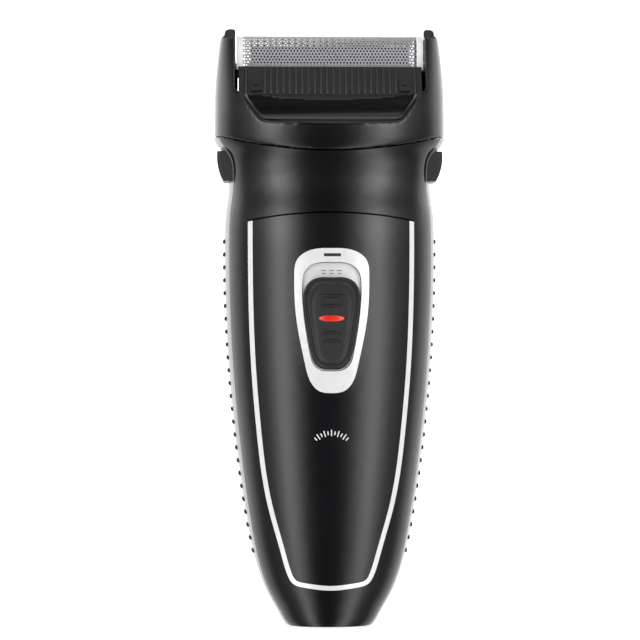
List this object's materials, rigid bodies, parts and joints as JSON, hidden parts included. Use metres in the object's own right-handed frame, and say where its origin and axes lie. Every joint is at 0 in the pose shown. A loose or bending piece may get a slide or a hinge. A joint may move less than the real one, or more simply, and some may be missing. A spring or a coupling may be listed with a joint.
{
  "type": "foil shaver",
  "caption": "Cordless electric foil shaver with a lift-off head, spring-floating foil, reciprocating cutter, slide switch, side grips and a swing-out trimmer.",
  "frame": {"origin": "middle of the flat base", "axes": "+Z from the base to the foil, -Y towards the switch side, X across the width"},
  "size_m": [0.0576, 0.0346, 0.1479],
  "materials": {
    "gloss_black": "gloss",
    "satin_black": "satin",
    "grey_frame": "satin",
    "chrome": "polished",
    "steel": "brushed",
    "foil_steel": "polished",
    "rubber": "matte",
    "red_lens": "gloss",
    "white_plastic": "satin",
    "board": "satin",
    "brass": "polished",
    "cell_wrap": "gloss"
  },
  "bodies": {
    "handle": {"front_housing": "gloss_black", "face_panel": "gloss_black", "face_trim": "chrome", "switch_bezel": "chrome", "slide_plate": "steel", "middle_frame": "grey_frame", "side_grip_left": "rubber", "side_grip_right": "rubber", "rear_housing": "gloss_black", "housing_screws": "steel", "release_spring_left": "steel", "release_spring_right": "steel", "top_deck": "satin_black", "deck_seal": "rubber", "motor_can": "steel", "motor_cap": "satin_black", "motor_mount": "satin_black", "battery_cell": "cell_wrap", "battery_tabs": "steel", "circuit_board": "board", "switch_contacts": "satin_black", "charge_light": "red_lens", "charge_inlet": "satin_black", "inlet_pins": "brass", "trimmer_pin": "steel", "trimmer_spring": "steel"},
    "slider": {"power_slider": "satin_black", "slider_lens": "red_lens"},
    "button_left": {"release_button_left": "satin_black"},
    "button_right": {"release_button_right": "satin_black"},
    "head": {"head_frame": "gloss_black", "foil_springs": "steel"},
    "foil": {"foil_frame": "satin_black", "foil_tabs": "satin_black", "foil_mesh": "foil_steel"},
    "bridge": {"drive_bridge": "white_plastic", "cutter_spring": "steel"},
    "cutter": {"cutter_carrier": "white_plastic", "cutter_blades": "steel"},
    "crank": {"motor_shaft": "steel", "eccentric": "white_plastic"},
    "trimmer": {"trimmer_carrier": "satin_black", "trimmer_comb": "steel"},
    "trimmer_cutter": {"trimmer_blade": "steel"},
    "latch": {"trimmer_latch": "satin_black"}
  },
  "joints": [
    {"name": "power_slide", "type": "slide", "parent": "handle", "child": "slider", "axis": [0, 0, 1], "range_m": [0, 0.0034]},
    {"name": "button_press_left", "type": "slide", "parent": "handle", "child": "button_left", "axis": [1, 0, 0], "range_m": [0, 0.001], "stiffness_N_per_m": 1500, "springref_m": -0.0005, "deforming": ["release_spring_left"]},
    {"name": "button_press_right", "type": "slide", "parent": "handle", "child": "button_right", "axis": [-1, 0, 0], "range_m": [0, 0.001], "stiffness_N_per_m": 1500, "springref_m": -0.0005, "deforming": ["release_spring_right"]},
    {"name": "head_lift", "type": "slide", "parent": "handle", "child": "head", "axis": [0, 0, 1], "range_m": [0, 0.014]},
    {"name": "foil_float", "type": "slide", "parent": "head", "child": "foil", "axis": [0, 0, -1], "range_m": [0, 0.0012], "stiffness_N_per_m": 1500, "springref_m": -0.0005, "deforming": ["foil_springs"]},
    {"name": "cutter_stroke", "type": "slide", "parent": "handle", "child": "bridge", "axis": [1, 0, 0], "range_m": [-0.0012, 0.0012]},
    {"name": "cutter_float", "type": "slide", "parent": "bridge", "child": "cutter", "axis": [0, 0, -1], "range_m": [0, 0.0012], "stiffness_N_per_m": 800, "springref_m": -0.0005, "deforming": ["cutter_spring"]},
    {"name": "crank_spin", "type": "hinge", "parent": "handle", "child": "crank", "pos_m": [0, 0, 0.1], "axis": [0, 0, 1], "continuous": true},
    {"name": "trimmer_swing", "type": "hinge", "parent": "handle", "child": "trimmer", "pos_m": [0, 0.01235, 0.0932], "axis": [-1, 0, 0], "range_deg": [0, 90]},
    {"name": "trimmer_stroke", "type": "slide", "parent": "trimmer", "child": "trimmer_cutter", "axis": [1, 0, 0], "range_m": [-0.001, 0.001]},
    {"name": "latch_slide", "type": "slide", "parent": "handle", "child": "latch", "axis": [0, 0, -1], "range_m": [0, 0.003]}
  ],
  "couplings": [
    {"joint": "cutter_float", "follows": "foil_float", "ratio": 1}
  ]
}
